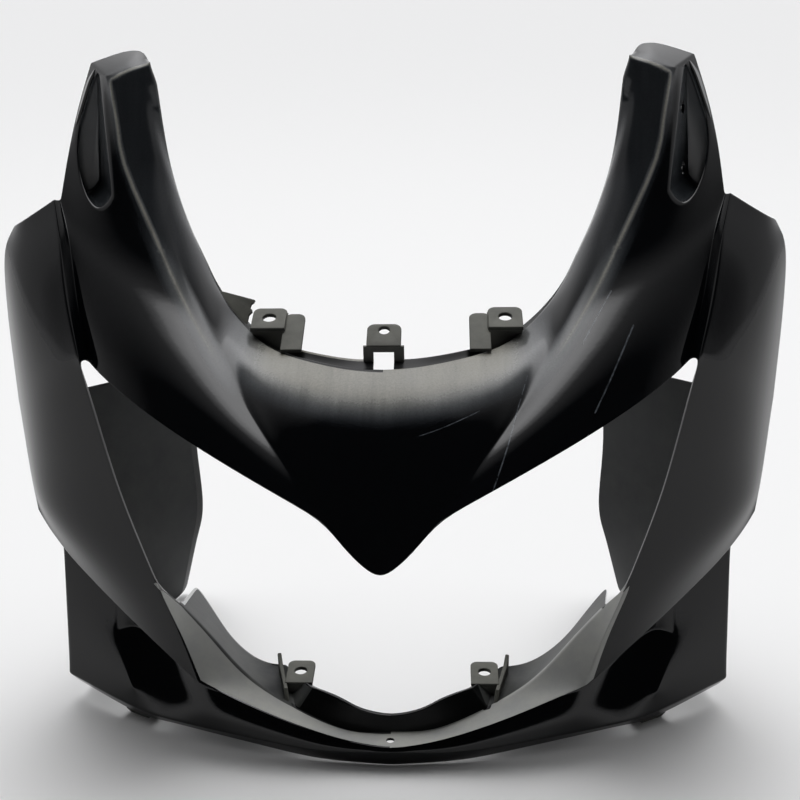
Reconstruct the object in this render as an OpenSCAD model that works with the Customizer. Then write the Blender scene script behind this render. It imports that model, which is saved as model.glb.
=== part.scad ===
// Nose fairing of a touring motorcycle: one thin moulding with a beak, two horns for
// the mirrors, a V-shaped headlight opening, side lobes and a low chin.
// +X is the viewer's right, +Y runs back along the machine, +Z is up, and Z = 0 is the lowest edge.
// Every outer curve is a row of six numbers: the place, then the way the wall goes in from it.

/* [Wall] */
// Thickness of the moulded wall
wall = 3; // [2:0.25:4]

/* [Beak and screen edge] */
// How far the tip of the beak stands in front of the origin
beak_reach = 150; // [130:1:170]
// Height of the tip of the beak
beak_z = 189; // [175:1:200]
// Half width of the beak where its side creases meet the headlight opening
crease_x = 35; // [28:1:42]
// Height of the middle of the screen edge
screen_z = 290; // [280:1:300]
// How far the middle of the screen edge stands in front of the origin
screen_reach = 65; // [55:1:75]

/* [Horns] */
// Height of the front corner of each horn
horn_z = 452; // [430:1:470]
// Half width over the outer edges of the horns
horn_x = 214; // [205:1:225]
// Width of the front blade of each horn at its top
blade_w = 31; // [27:1:35]

/* [Headlight opening] */
// Half width of the opening at its upper corners
eye_x = 203; // [196:1:208]
// Height of the upper corners of the opening
eye_z = 284; // [276:1:290]
// Half width of the opening at the foot of the lobes
foot_x = 137; // [128:1:144]

/* [Side lobes] */
// Half width over the lobes
lobe_x = 276; // [268:1:288]
// Height of the lowest outer corner of each lobe
lobe_z = 151; // [140:1:160]
// How far the lobes stand proud of the cheeks
lobe_step = 9; // [6:1:13]

/* [Chin and wings] */
// Half width over the lower wings
wing_x = 250; // [242:1:256]
// How far the chin stands in front of the origin
chin_reach = 86; // [80:1:95]
// Height of the chin ledge at the middle
chin_z = 17; // [14:1:20]

/* [Rear edge] */
// Depth of the side panels behind the origin
rear_y = 150; // [135:1:165]
// Half width over the rear edges of the side panels
rear_x = 172; // [164:1:182]

/* [Mirror pockets] */
// Distance between the two mirror bolt holes
mirror_pitch = 42; // [38:1:44]
// Diameter of a mirror bolt hole
mirror_hole_d = 10; // [7:0.5:12]
// Depth of the pocket floor behind its seat's front edge
pocket_depth = 34; // [28:1:40]

/* [Wings] */
// Depth of the hollow in the lower face, inboard of its fold
scoop_d = 5; // [3:0.5:7]

/* [Mounting tabs] */
// Half distance between the two lower tab holes
low_tab_x = 67; // [64:1:69]
// Diameter of a lower tab hole
low_hole_d = 9; // [6:0.5:10]
// Half distance between the two upper side tab holes
side_tab_x = 79; // [76:1:82]
// Diameter of an upper side tab hole
side_hole_d = 9; // [6:0.5:10]
// Diameter of the middle tab's hole
mid_hole_d = 7; // [5:0.5:8]
// Diameter of the screw hole in the middle of the chin
chin_hole_d = 6; // [4:0.5:7]
// Thickness of every tab plate
tab_t = 3; // [2:0.25:4]

/* [Hidden] */

// Facets: cells along each stretch of the character lines
n_tip = 3;
n_ridge = 20;
n_step = 11;
n_blade = 7;
n_cheek = 6;
n_lobe = 8;
n_foot = 5;
n_eye = 8;
n_chin = 8;
n_panel = 15;
n_wing = 4;
n_floor = 3;
n_riser = 5;
n_notch = 2;
n_crest = 5;

// Curve tools
function catmull(p, q, r, s, t) =
    q + 0.5*t*(r - p) + t*t*(p - 2.5*q + 2*r - 0.5*s) + t*t*t*(1.5*(q - r) + 0.5*(s - p));
function at(c, t) = let (
        m = len(c) - 1,
        i = min(floor(t*m), m - 1),
        p = i > 0 ? c[i - 1] : 2*c[0] - c[1],
        s = i < m - 1 ? c[i + 2] : 2*c[m] - c[m - 1])
    t == 0 ? c[0] : t == 1 ? c[m] : catmull(p, c[i], c[i + 1], s, t*m - i);
function curve(c, n) = [for (k = [0:n]) at(c, k/n)];
function line(a, b, n) = [for (k = [0:n]) k == 0 ? a : k == n ? b : a + (b - a)*k/n];
function arc(a, c, b, w, t) =
    ((1 - t)*(1 - t)*a + 2*w*t*(1 - t)*c + t*t*b)/((1 - t)*(1 - t) + 2*w*t*(1 - t) + t*t);
function back(c) = [for (k = [len(c) - 1:-1:0]) c[k]];
function part(c, a, b) = [for (k = [a:b]) c[k]];
function joined(a, b) = concat(a, part(b, 1, len(b) - 1));
function column(g, k) = [for (row = g) row[k]];

// Surface tools: a grid is a list of rows, each a list of six-number points
function crown(low, mid, high, w, n) =
    [for (r = [0:n]) [for (k = [0:len(low) - 1]) arc(low[k], mid[k], high[k], w, r/n)]];
function span(low, high, n) = [for (r = [0:n]) [for (k = [0:len(low) - 1])
    r == 0 ? low[k] : r == n ? high[k] : low[k] + (high[k] - low[k])*r/n]];
function coons(low, high, left, right) = let (n = len(left) - 1, m = len(low) - 1)
    [for (r = [0:n]) [for (k = [0:m]) let (u = k/m, v = r/n)
        r == 0 ? low[k] : r == n ? high[k] : k == 0 ? left[r] : k == m ? right[r] :
        (1 - v)*low[k] + v*high[k] + (1 - u)*left[r] + u*right[r]
            - (1 - u)*(1 - v)*low[0] - u*(1 - v)*low[m] - (1 - u)*v*high[0] - u*v*high[m]]];

// A shell is closed from its outer faces, the same faces set in by the wall, and its rims
function place(p) = [p[0], p[1], p[2]];
function way(p) = let (d = [p[3], p[4], p[5]]) d/norm(d);
function set_in(p, t) = place(p) + t*way(p);
function meets(a, b) = norm(a - b) < 1e-6;
function tri(pts, a, b, c) =
    meets(pts[a], pts[b]) || meets(pts[b], pts[c]) || meets(pts[a], pts[c]) ? [] : [[a, b, c]];
function quad(pts, a, b, c, d) = concat(tri(pts, a, b, c), tri(pts, a, c, d));
function grid_points(g, t) = concat(
    [for (row = g) for (p = row) place(p)], [for (row = g) for (p = row) set_in(p, t)]);
function grid_faces(pts, g) = let (n = len(g) - 1, m = len(g[0]), s = (n + 1)*m) concat(
    [for (r = [0:n - 1]) for (k = [0:m - 2]) let (a = r*m + k) each quad(pts, a, a + m, a + m + 1, a + 1)],
    [for (r = [0:n - 1]) for (k = [0:m - 2]) let (a = s + r*m + k) each quad(pts, a, a + 1, a + m + 1, a + m)]);
function rim_faces(pts, m) = [for (k = [0:m - 2]) each quad(pts, k, k + 1, m + k + 1, m + k)];
function turned(faces) = [for (f = faces) [f[0], f[2], f[1]]];
function opposite(pts) = [for (p = pts) [p[0] == 0 ? 0 : -p[0], p[1], p[2]]];

// Character lines of the right half, from the middle outwards or from low to high
tip = [0, -beak_reach, beak_z, 0, 1, -0.4];
crease = [crease_x, 17 - beak_reach, beak_z + 30, -0.1, 1, -0.4];
ridge_top = [horn_x - 21, 78, horn_z, -0.4, 0.8, -0.6];
blade_top = [horn_x - 21 - blade_w, 84, horn_z + 13, 0.5, 0.8, -0.6];
cap_inner = [horn_x - 18 - blade_w, 97, horn_z + 11, 0.5, 0.2, -0.8];
cap_outer = [horn_x, 112, horn_z + 7, -0.6, 0.3, -0.8];
eye_cheek = [eye_x - 3, -22, eye_z - 2, 0, 1, 0];
shoulder_in = [horn_x + 17, 58, screen_z + 81, -0.2, 1, -0.1];
eye_lobe = [eye_x, -22 - lobe_step, eye_z, 0.3, 1, 0];
shoulder_out = [horn_x + 19, 56 - lobe_step/2, screen_z + 84, 0.2, 0.9, -0.4];
lobe_foot = [foot_x, -58, 51, 0, 1, -0.2];
lobe_corner = [lobe_x - 14, 16, lobe_z, -0.7, 0.5, 0.3];
lobe_top = [lobe_x - 7, 66, screen_z + 62, -0.6, 0.4, -0.6];

tip_line = curve([tip, [crease_x*0.45, -beak_reach + 5, beak_z + 10, 0, 1, -0.4], crease], n_tip);
ridge = curve([crease,
    [59, -107, beak_z + 54, -0.1, 1, -0.4], [85, -75, beak_z + 77, -0.15, 1, -0.4],
    [112, -38, screen_z + 2, -0.2, 1, -0.4], [135, -6, screen_z + 28, -0.25, 1, -0.3],
    [160, 28, screen_z + 66, -0.3, 1, -0.3], [182, 54, horn_z - 55, -0.3, 1, -0.2],
    [188, 68, horn_z - 27, -0.3, 1, -0.3], ridge_top], n_ridge);
nose_low = joined(tip_line, ridge);
n_nose = n_tip + n_ridge;
screen = curve([[0, -screen_reach, screen_z, 0, 0.3, -1],
    [28, -58, screen_z, 0, 0.3, -1], [72, -24, screen_z - 1, 0.1, 0.4, -1],
    [97, 3, screen_z + 8, 0.3, 0.5, -1], [116, 26, screen_z + 23, 0.5, 0.6, -0.8],
    [129, 44, screen_z + 43, 0.6, 0.7, -0.6], [144, 62, screen_z + 71, 0.7, 0.7, -0.4],
    [157, 82, screen_z + 109, 0.7, 0.7, -0.3], blade_top], n_nose);
roll = curve([[0, -108, screen_z - 14, 0, 0.8, -0.7],
    [36, -98, screen_z - 10, 0, 0.8, -0.7], [79, -68, screen_z - 4, 0, 0.8, -0.7],
    [109, -20, screen_z + 11, 0, 0.9, -0.6], [128, 16, screen_z + 40, 0, 1, -0.4],
    [145, 44, screen_z + 76, 0, 1, -0.4], [160, 64, screen_z + 112, 0, 1, -0.3],
    [169, 74, horn_z + 2, 0.1, 1, -0.3], blade_top - [0, 4, 2, 0.3, 0, 0]], n_nose);
brow = curve([crease, [72, -118, beak_z + 45, -0.2, 1, -0.3], [114, -95, beak_z + 60, -0.3, 1, -0.2],
    [151, -68, eye_z - 23, -0.4, 1, 0], [186, -38, eye_z - 10, -0.5, 0.8, 0], eye_cheek], n_cheek);
cheek_low = curve([eye_cheek, [horn_x - 5, 0, screen_z + 24, 0.1, 1, 0],
    [horn_x + 5, 30, screen_z + 57, 0.1, 1, 0], shoulder_in], n_step);
cheek_high = curve([shoulder_in, [horn_x + 16, 88, horn_z - 51, -0.8, 0.6, 0],
    [horn_x + 10, 104, horn_z - 22, -0.8, 0.5, -0.1], cap_outer], n_ridge - n_step);
cheek_out = joined(cheek_low, cheek_high);
cap_side = line(ridge_top, cap_outer, n_cheek);
step_line = curve([eye_lobe, [horn_x, 2 - lobe_step, screen_z + 27, 0.4, 0.9, 0],
    [horn_x + 9, 30 - lobe_step, screen_z + 60, 0.4, 0.9, 0], shoulder_out], n_step);
foot_line = curve([lobe_foot, [foot_x + 10, -50, 81, 0, 1, -0.2], [foot_x + 26, -42, 120, 0, 1, 0]], n_foot);
eye_line = curve([foot_line[n_foot], [foot_x + 37, -37, 151, 0, 1, 0], [foot_x + 50, -33, 195, -0.1, 1, 0],
    [eye_x - 5, -32, eye_z - 30, -0.2, 1, 0], eye_lobe], n_eye);
lobe_in = joined(joined(foot_line, eye_line), step_line);
panel_edge = curve([lobe_corner, [lobe_x - 10, 22, lobe_z + 27, -0.8, 0.6, 0],
    [lobe_x - 5, 32, lobe_z + 78, -0.8, 0.6, 0]], n_panel - 1);
lobe_edge = curve([panel_edge[n_panel - 1], [lobe_x - 1, 45, screen_z + 3, -0.8, 0.6, 0],
    [lobe_x, 58, screen_z + 44, -0.7, 0.6, -0.2], lobe_top], n_foot + n_eye + n_step - n_panel + 1);
lobe_out = joined(panel_edge, lobe_edge);
lobe_mid = curve([[wing_x - 4, 6, lobe_z - 34, -0.4, 0.9, 0.1], [lobe_x - 30, -18, lobe_z + 10, -0.5, 0.8, 0],
    [lobe_x - 30, -16, lobe_z + 60, -0.5, 0.8, 0], [lobe_x - 26, -6, lobe_z + 120, -0.5, 0.8, 0],
    [lobe_x - 20, 14, screen_z + 26, -0.5, 0.8, 0], [lobe_x - 14, 52, screen_z + 66, -0.5, 0.7, -0.4]],
    n_foot + n_eye + n_step);
chin_line = curve([[0, -chin_reach, chin_z, 0, 0.8, -0.6], [35, 3 - chin_reach, chin_z + 5, 0, 0.8, -0.6],
    [78, 10 - chin_reach, chin_z + 17, 0, 0.8, -0.6], [114, 20 - chin_reach, chin_z + 28, 0, 0.8, -0.6],
    lobe_foot], n_chin);
ledge_line = curve([[0, 18 - chin_reach, chin_z, 0, 0.6, -0.8], [26, 19 - chin_reach, chin_z, 0, 0.6, -0.8],
    [49, 23 - chin_reach, chin_z + 6, 0, 0.5, -0.8], [77, 30 - chin_reach, chin_z + 18, 0, 0.2, -1],
    [104, 40 - chin_reach, chin_z + 33, 0, 0, -1], [foot_x - 6, 52 - chin_reach, chin_z + 60, 0.2, 0.2, -1],
    [foot_x + 15, 57 - chin_reach, chin_z + 82, 0.3, 0.5, -0.8], foot_line[n_foot]], n_chin + n_foot);
wing_top = curve([lobe_foot, [170, -26, 68, 0, 1, 0], [210, -2, 94, -0.2, 1, 0],
    [wing_x - 2, 20, lobe_z - 26, -0.8, 0.6, 0]], n_lobe);
wing_low = [wing_x - 2, -5, 22, -0.8, 0.5, 0.2];
wing_foot = [wing_x - 6, -2, 15, -0.6, 0.4, 0.7];
lip_line = curve([[0, -chin_reach - 1, chin_z - 2, 0, 0.8, 0.4], [50, 4 - chin_reach, 12, 0, 0.8, 0.4],
    [100, 16 - chin_reach, 13, 0, 0.8, 0.4], [155, 34 - chin_reach, 13, 0, 0.8, 0.4],
    [190, 50 - chin_reach, 13, -0.2, 0.8, 0.4], wing_low], n_chin + n_lobe);
base_line = curve([[0, 4 - chin_reach, 0, 0, 0.4, 1], [50, 9 - chin_reach, 1, 0, 0.4, 1],
    [101, 21 - chin_reach, 5, 0, 0.4, 1], [157, 39 - chin_reach, 7, 0, 0.4, 1],
    [191, 54 - chin_reach, 6, -0.2, 0.4, 1], wing_foot], n_chin + n_lobe);
rear_line = curve([[rear_x + 21, rear_y, 0, -1, 0, 0.1], [rear_x + 8, rear_y, 49, -1, 0, 0],
    [rear_x - 1, rear_y, 85, -1, 0, 0], [rear_x, rear_y, 140, -1, 0, 0],
    [rear_x - 2, rear_y - 8, 190, -1, 0, 0], [rear_x + 4, rear_y - 26, 222, -1, 0, 0]],
    n_panel + n_wing + 2);
arch_line = curve([[80, -14, 37, 0, 0.2, -1], [103, 5, 27, 0, 0.1, -1], [133, 50, 20, 0.1, 0, -1],
    [157, 98, 19, 0.2, 0, -1], [rear_x + 5, rear_y - 12, 15, 0.4, 0, -1]], n_chin + n_foot - n_notch - n_riser);
wing_fold = curve([wing_top[n_crest], [204, -17, 55, -0.2, 1, 0], [192, -32, 34, -0.2, 1, 0.1],
    lip_line[n_chin + n_crest]], n_wing);
riser_line = curve([[0, 22 - chin_reach, 28, 0, 1, -0.1], [21, 23 - chin_reach, 32, 0, 1, -0.1],
    [37, 28 - chin_reach, 39, 0, 1, -0.1], [58, 36 - chin_reach, 43, -0.3, 0.8, -0.5]], n_riser);

// The skins between those lines
nose = crown(nose_low, roll, screen, 1.6, n_blade);
cheek = coons(ridge, cheek_out, brow, cap_side);
cap = coons(cap_side, line(blade_top, cap_inner, n_cheek), column(nose, n_nose),
    curve([cap_outer, [horn_x - 25, 115, horn_z + 14.5, 0, 0.3, -0.9], [horn_x - 40, 108, horn_z + 14.5, 0.3, 0.3, -0.8],
        cap_inner], n_blade));
step = span(cheek_low, step_line, 1);
lobe = crown(lobe_in, lobe_mid, lobe_out, 1.3, n_lobe);
lobe_under = span(column(lobe, 0), wing_top, 2);
wing_inner = coons(joined(chin_line, part(wing_top, 0, n_crest)), part(lip_line, 0, n_chin + n_crest),
    line(chin_line[0], lip_line[0], n_wing), wing_fold);
wing_scoop = [for (r = [0:n_wing]) [for (k = [0:n_chin + n_crest]) let (u = max(k - n_chin + 2, 0)/(n_crest + 2))
    wing_inner[r][k] + scoop_d*sin(180*r/n_wing)*sin(180*u)*[0, 1, 0.3, 0, 0, 0]]];
wing = coons(part(wing_top, n_crest, n_lobe), part(lip_line, n_chin + n_crest, n_chin + n_lobe), wing_fold,
    line(wing_top[n_lobe], wing_low, n_wing));
lip = span(lip_line, base_line, 1);
ledge = span(joined(chin_line, foot_line), ledge_line, 2);
riser = span(part(ledge_line, 0, n_riser), riser_line, n_floor);
floor_pan = span(part(ledge_line, n_riser, n_chin + n_foot - n_notch), arch_line, n_floor);
gusset = span(column(floor_pan, 0), column(riser, n_riser), 1);
side_front = back(joined(joined(back(panel_edge), column(lobe_under, n_lobe)),
    joined(column(wing, n_lobe - n_crest), column(lip, n_chin + n_lobe))));

// Return flanges
flange_w = 13;
joggle = 4;
return_w = 9;
flange_root = [for (k = [0:n_nose]) let (p = screen[k])
    concat(set_in(p, joggle), [p[3] + 0.1*k/n_nose, p[4] + 0.3, p[5]])];
flange_edge = [for (k = [0:n_nose]) let (p = flange_root[k], u = k/n_nose)
    concat(place(p) + flange_w*(1 - 0.8*u*u*u)*[0, 0.9 - 0.3*u, 0.45 - 0.5*u], [p[3] + 0.3*u, p[4]*(1 - u), p[5]])];
outer_edge = joined(joined(back(cheek_high), column(step, n_step)),
    joined(column(lobe, len(lobe_in) - 1), back(lobe_edge)));
return_edge = [for (p = outer_edge)
    concat(place(p) + return_w*[-0.3, 0.9, -0.3], [p[3], 0.2*p[4], p[5] - 0.1])];
side = span(side_front, rear_line, 4);

skins = [nose, cheek, cap, step, lobe, lobe_under, wing_scoop, wing, lip, ledge, riser, floor_pan, gusset, side,
    [screen, flange_root, flange_edge], [outer_edge, return_edge]];

// Free edges of the right half: round the headlight opening, then round the outside
eye_rim = joined(joined(joined(tip_line, brow), joined(column(step, 0), back(eye_line))),
    joined(joined(back(part(ledge_line, n_chin + n_foot - n_notch, n_chin + n_foot)),
        column(floor_pan, n_chin + n_foot - n_notch - n_riser)),
    concat(back(arch_line), back(riser_line))));
outer_rim = joined(joined(joined(flange_edge, [flange_edge[n_nose], flange_root[n_nose], blade_top]),
    joined(cap[n_blade], back(column(cap, n_cheek)))),
    joined(joined([cap_outer, return_edge[0]], return_edge),
    joined(joined([return_edge[len(return_edge) - 1], panel_edge[n_panel - 1]],
        column(side, len(rear_line) - 1)),
    joined(joined(back(rear_line), back(column(side, 0))), back(base_line)))));

// One shell from all skins and rims, and its mirror image
grids = [for (g = skins) let (
    r = floor((len(g) - 1)/2),
    k = floor((len(g[0]) - 1)/2),
    across = place(g[r + 1][k]) - place(g[r][k]),
    along = place(g[r][k + 1]) - place(g[r][k]),
    pts = grid_points(g, wall),
    f = grid_faces(pts, g))
    [pts, cross(across, along)*way(g[r][k]) > 0 ? f : turned(f)]];
rims = [for (c = [eye_rim, outer_rim]) let (pts = grid_points([c], wall)) [pts, rim_faces(pts, len(c))]];
half = concat(grids, [rims[0], [rims[1][0], turned(rims[1][1])]]);
function first(list, k) = k == 0 ? 0 : first(list, k - 1) + len(list[k - 1][0]);
function numbered(list) = [for (k = [0:len(list) - 1]) let (n = first(list, k))
    each [for (f = list[k][1]) [f[0] + n, f[1] + n, f[2] + n]]];
half_points = [for (g = half) each g[0]];
half_faces = numbered(half);
n_half = len(half_points);

module shell() {
    polyhedron(concat(half_points, opposite(half_points)),
        concat(half_faces, [for (f = turned(half_faces)) [f[0] + n_half, f[1] + n_half, f[2] + n_half]]));
}

// A block swept from part of a skin along one direction
function swept_points(g, by) = concat([for (row = g) for (p = row) place(p)],
    [for (row = g) for (p = row) place(p) + by]);
function swept_edge(g) = let (n = len(g) - 1, m = len(g[0]) - 1) concat(
    [for (k = [0:m]) k], [for (r = [1:n]) r*(m + 1) + m], [for (k = [m - 1:-1:0]) n*(m + 1) + k],
    [for (r = [n - 1:-1:0]) r*(m + 1)]);
module swept(g, by) {
    pts = swept_points(g, by);
    e = swept_edge(g);
    h = len(g)*len(g[0]);
    sides = [for (i = [0:len(e) - 2]) each quad(pts, e[i], e[i + 1], e[i + 1] + h, e[i] + h)];
    polyhedron(pts, turned(concat(grid_faces(pts, g), sides)));
}

// The pocket that seats a mirror: a leaf in the outer face of the horn, straight where the foot bears
pocket_turn = 23;
pocket_at = [206, 88, horn_z - 47];
pocket_floor = -12;
leaf_points = [[-5, 49.5], [-4.2, 45], [1.5, -24], [3.4, -30], [7, -34], [11, -36], [14.5, -34], [17, -28],
    [18, -17], [16.2, -2], [12.2, 13], [6.6, 27], [1, 40], [-2.4, 46]];
seat_lean = atan(5.7/69);
seat_x = -0.5;
module leaf(grow) {
    offset(delta = grow) polygon(leaf_points);
}
module at_pocket() {
    translate(pocket_at) rotate([0, 0, -pocket_turn]) rotate([90, 0, 0]) children();
}
module pocket_space() {
    at_pocket() translate([0, 0, pocket_floor]) linear_extrude(pocket_depth + 30) leaf(0);
}
module pocket_cup() {
    intersection() {
        at_pocket() translate([0, 0, pocket_floor - wall]) linear_extrude(pocket_depth + 30) leaf(wall);
        translate(wall/2*[sin(pocket_turn), cos(pocket_turn), 0])
            swept([for (row = cheek) part(row, n_step - 3, n_ridge)],
                80*[sin(pocket_turn), cos(pocket_turn), 0]);
    }
}
module mirror_holes() {
    for (z = [-mirror_pitch/2, mirror_pitch/2])
        translate(pocket_at) rotate([0, 0, -pocket_turn]) translate([seat_x, 0, 0])
            rotate([0, 90 - seat_lean, 0]) translate([-z, 0, -13]) cylinder(d = mirror_hole_d, h = 17, $fn = 48);
}

// A flat plate that runs back along Y, with its two far corners round
plate_r = 5;
module plate(w, l) {
    translate([-w/2, 0, 0]) cube([w, l - plate_r, tab_t]);
    translate([plate_r - w/2, 0, 0]) cube([w - 2*plate_r, l, tab_t]);
    for (x = [plate_r - w/2, w/2 - plate_r]) translate([x, l - plate_r, 0])
        cylinder(r = plate_r, h = tab_t, $fn = 48);
}
// A rib in the plane of Y and Z, drawn by its side view
module rib(x, outline) {
    translate([x - tab_t/2, 0, 0]) rotate([90, 0, 90]) linear_extrude(tab_t) polygon(outline);
}

low_tab_w = 20;
low_tab_z = chin_z + 22;
low_tab_y = 42 - chin_reach;
module low_tab() {
    translate([low_tab_x, low_tab_y, low_tab_z]) plate(low_tab_w, 28);
    translate([low_tab_x - 7, low_tab_y, low_tab_z - 9]) cube([low_tab_w/2 + 7, tab_t, 10]);
    translate([low_tab_x + low_tab_w/2, low_tab_y, 0]) rotate([0, 0, -14])
        rib(0, [[-14, 29], [27, 30], [29, 48], [22, 43], [-6, 41]]);
}
module low_tab_hole() {
    translate([low_tab_x, low_tab_y + 15, low_tab_z - 5]) cylinder(d = low_hole_d, h = 15, $fn = 48);
}

side_tab_w = 23;
side_tab_tilt = 16;
side_tab_at = [side_tab_x, -14, screen_z + 8];
module side_tab() {
    translate(side_tab_at) rotate([side_tab_tilt, 0, 0]) plate(side_tab_w, 24);
    translate(side_tab_at + [-side_tab_w/2 - 5.5, -17, -9]) rotate([side_tab_tilt + 4, 0, 0]) plate(14, 38);
    rib(side_tab_x + side_tab_w/2 - 2, [[-2, screen_z + 3], [9, screen_z + 7], [7, screen_z + 15],
        [-11, screen_z + 10]]);
    rib(side_tab_x - side_tab_w/2 + 1, [[-22, screen_z - 2], [-8, screen_z + 1], [7, screen_z + 14.5],
        [-12, screen_z + 10]]);
}
module side_tab_hole() {
    translate(side_tab_at) rotate([side_tab_tilt, 0, 0]) translate([0, 12.5, -8])
        cylinder(d = side_hole_d, h = 20, $fn = 48);
}

mid_tab_w = 22;
mid_tab_tilt = 24;
mid_tab_at = [0, 13 - screen_reach, screen_z + 9];
window_w = 13;
module mid_tab() {
    translate([-mid_tab_w/2 - 2, 12 - screen_reach, screen_z - 2]) cube([mid_tab_w + 4, tab_t, 13]);
    translate(mid_tab_at) rotate([mid_tab_tilt, 0, 0]) plate(mid_tab_w, 20.5);
}
module mid_tab_cuts() {
    translate(mid_tab_at) rotate([mid_tab_tilt, 0, 0]) translate([0, 14.5, -8])
        cylinder(d = mid_hole_d, h = 20, $fn = 48);
    translate([-window_w/2, 1 - screen_reach, screen_z - 9]) cube([window_w, 16, 16]);
}

// Small lugs behind the lower lip of the wings
module lug() {
    translate([190, 54 - chin_reach, 0]) rotate([0, 0, 28]) translate([0, 0.6, 3]) rotate([-90, 0, 0])
        linear_extrude(13.5) polygon([[-13, -10], [13, -10], [12, -2.5], [8, 0], [-9, 0], [-12, -3]]);
}

// What is left of a torn flap beside the left screen tab, with its jagged end
flap_at = [-98, 10, screen_z + 6.5];
flap_along = [-0.57, 0.69, 0.45]/norm([-0.57, 0.69, 0.45]);
flap_rise = [5, 10, 11] - ([5, 10, 11]*flap_along)*flap_along;
flap_up = flap_rise/norm(flap_rise);
flap_out = cross(flap_along, flap_up);
module torn_flap() {
    multmatrix([for (k = [0:2]) [flap_along[k], flap_up[k], flap_out[k], flap_at[k]]])
        linear_extrude(2) polygon([[-2, -3], [37, -6], [35, 0], [10.4, 15], [7.8, 9], [3.9, 8.5], [0.4, 2.4], [-1.5, 1]]);
}

module both_sides() {
    children();
    mirror([1, 0, 0]) children();
}

module nose_fairing() {
    color("#15171b") difference() {
        union() {
            difference() {
                union() {
                    shell();
                    both_sides() pocket_cup();
                }
                both_sides() pocket_space();
            }
            both_sides() {
                low_tab();
                side_tab();
                lug();
            }
            mid_tab();
            torn_flap();
        }
        both_sides() {
            mirror_holes();
            low_tab_hole();
            side_tab_hole();
        }
        mid_tab_cuts();
        translate([0, 9 - chin_reach, chin_z - 12]) cylinder(d = chin_hole_d, h = 20, $fn = 48);
    }
}

nose_fairing();
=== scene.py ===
"""Nose fairing of a touring motorcycle: one thin gloss-black moulding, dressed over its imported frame.

+X is the viewer's right, +Y runs back along the machine and +Z is up. Lengths are millimetres until MM turns
them to metres. The skins are lofted between character lines, as in the part's source, and then rounded.
"""

import math

import bmesh
import bpy
import numpy as np
from mathutils import Matrix, Vector
from mathutils.bvhtree import BVHTree
from mathutils.interpolate import poly_3d_calc


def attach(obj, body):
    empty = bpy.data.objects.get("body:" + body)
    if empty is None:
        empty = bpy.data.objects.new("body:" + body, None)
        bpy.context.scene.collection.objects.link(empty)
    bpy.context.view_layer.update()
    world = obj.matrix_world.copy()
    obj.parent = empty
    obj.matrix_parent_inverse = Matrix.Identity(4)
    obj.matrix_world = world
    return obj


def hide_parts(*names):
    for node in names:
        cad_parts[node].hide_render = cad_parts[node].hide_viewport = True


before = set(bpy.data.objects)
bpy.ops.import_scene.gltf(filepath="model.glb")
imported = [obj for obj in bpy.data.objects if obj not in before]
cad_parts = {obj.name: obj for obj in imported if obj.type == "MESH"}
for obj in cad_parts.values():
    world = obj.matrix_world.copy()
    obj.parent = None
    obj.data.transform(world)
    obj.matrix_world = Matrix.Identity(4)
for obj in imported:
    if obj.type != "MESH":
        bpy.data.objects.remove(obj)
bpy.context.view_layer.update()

MM = 0.001

# Driving dimensions of the moulding. Half widths end in _x, heights in _z, and distances in front of the origin
# and behind it in _reach and _y
wall = 3
beak_reach = 150
beak_z = 189
crease_x = 35
screen_z = 290
screen_reach = 65
horn_z = 452
horn_x = 214
blade_w = 31
eye_x = 203
eye_z = 284
foot_x = 137
lobe_x = 276
lobe_z = 151
lobe_step = 9
wing_x = 250
chin_reach = 86
chin_z = 17
rear_y = 150
rear_x = 172

# Pockets, tabs and holes
mirror_pitch = 42
mirror_hole_d = 10
low_tab_x = 67
low_hole_d = 9
side_tab_x = 79
side_hole_d = 9
mid_hole_d = 7
chin_hole_d = 6
tab_t = 3

# The face under the chin leans back from its upper edge: the share of its height, and the most in millimetres
scoop_lean = 0.3
scoop_depth = 11

# Cells along each stretch of the character lines
n_tip = 3
n_ridge = 20
n_step = 11
n_blade = 7
n_cheek = 6
n_lobe = 8
n_foot = 5
n_eye = 8
n_chin = 8
n_panel = 15
n_wing = 4
n_floor = 3
n_riser = 5
n_notch = 2
n_crest = 5


# Curve and surface tools: a point is its place and then the way the wall goes in from it
def point(*values):
    """One point: its place and the way the wall goes in, or a place alone."""
    return np.array(values, dtype=float)


def curve(points, n):
    """Passes a smooth curve through the points and returns n + 1 points along it."""
    c = np.array(points, dtype=float)
    m = len(c) - 1
    out = []
    for k in range(n + 1):
        t = k / n * m
        i = min(int(t), m - 1)
        t -= i
        q, r = c[i], c[i + 1]
        p = c[i - 1] if i > 0 else 2 * q - r
        s = c[i + 2] if i < m - 1 else 2 * r - q
        out.append(q + 0.5 * t * (r - p) + t * t * (p - 2.5 * q + 2 * r - 0.5 * s)
                   + t**3 * (1.5 * (q - r) + 0.5 * (s - p)))
    return out


def line(a, b, n):
    """n + 1 points along a straight line."""
    a, b = np.array(a, dtype=float), np.array(b, dtype=float)
    return [a + (b - a) * k / n for k in range(n + 1)]


def arc(a, c, b, w, t):
    """One point of the conic from a to b that bends towards c."""
    low, mid, high = (1 - t) ** 2, 2 * w * t * (1 - t), t * t
    return (low * a + mid * c + high * b) / (low + mid + high)


def back(c):
    """The same line, from its other end."""
    return list(reversed(c))


def part(c, a, b):
    """The points a to b of a line."""
    return list(c[a:b + 1])


def joined(a, b):
    """Two lines end to end, with the point they share once."""
    return list(a) + list(b[1:])


def column(grid, k):
    """The line through point k of each row of a skin."""
    return [row[k] for row in grid]


def crown(low, mid, high, w, n):
    """A skin that bulges from one line to another, towards a third between them."""
    return [[arc(a, c, b, w, r / n) for a, c, b in zip(low, mid, high)] for r in range(n + 1)]


def span(low, high, n):
    """A skin that runs straight across from one line to another."""
    return [[a + (b - a) * r / n for a, b in zip(low, high)] for r in range(n + 1)]


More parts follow.
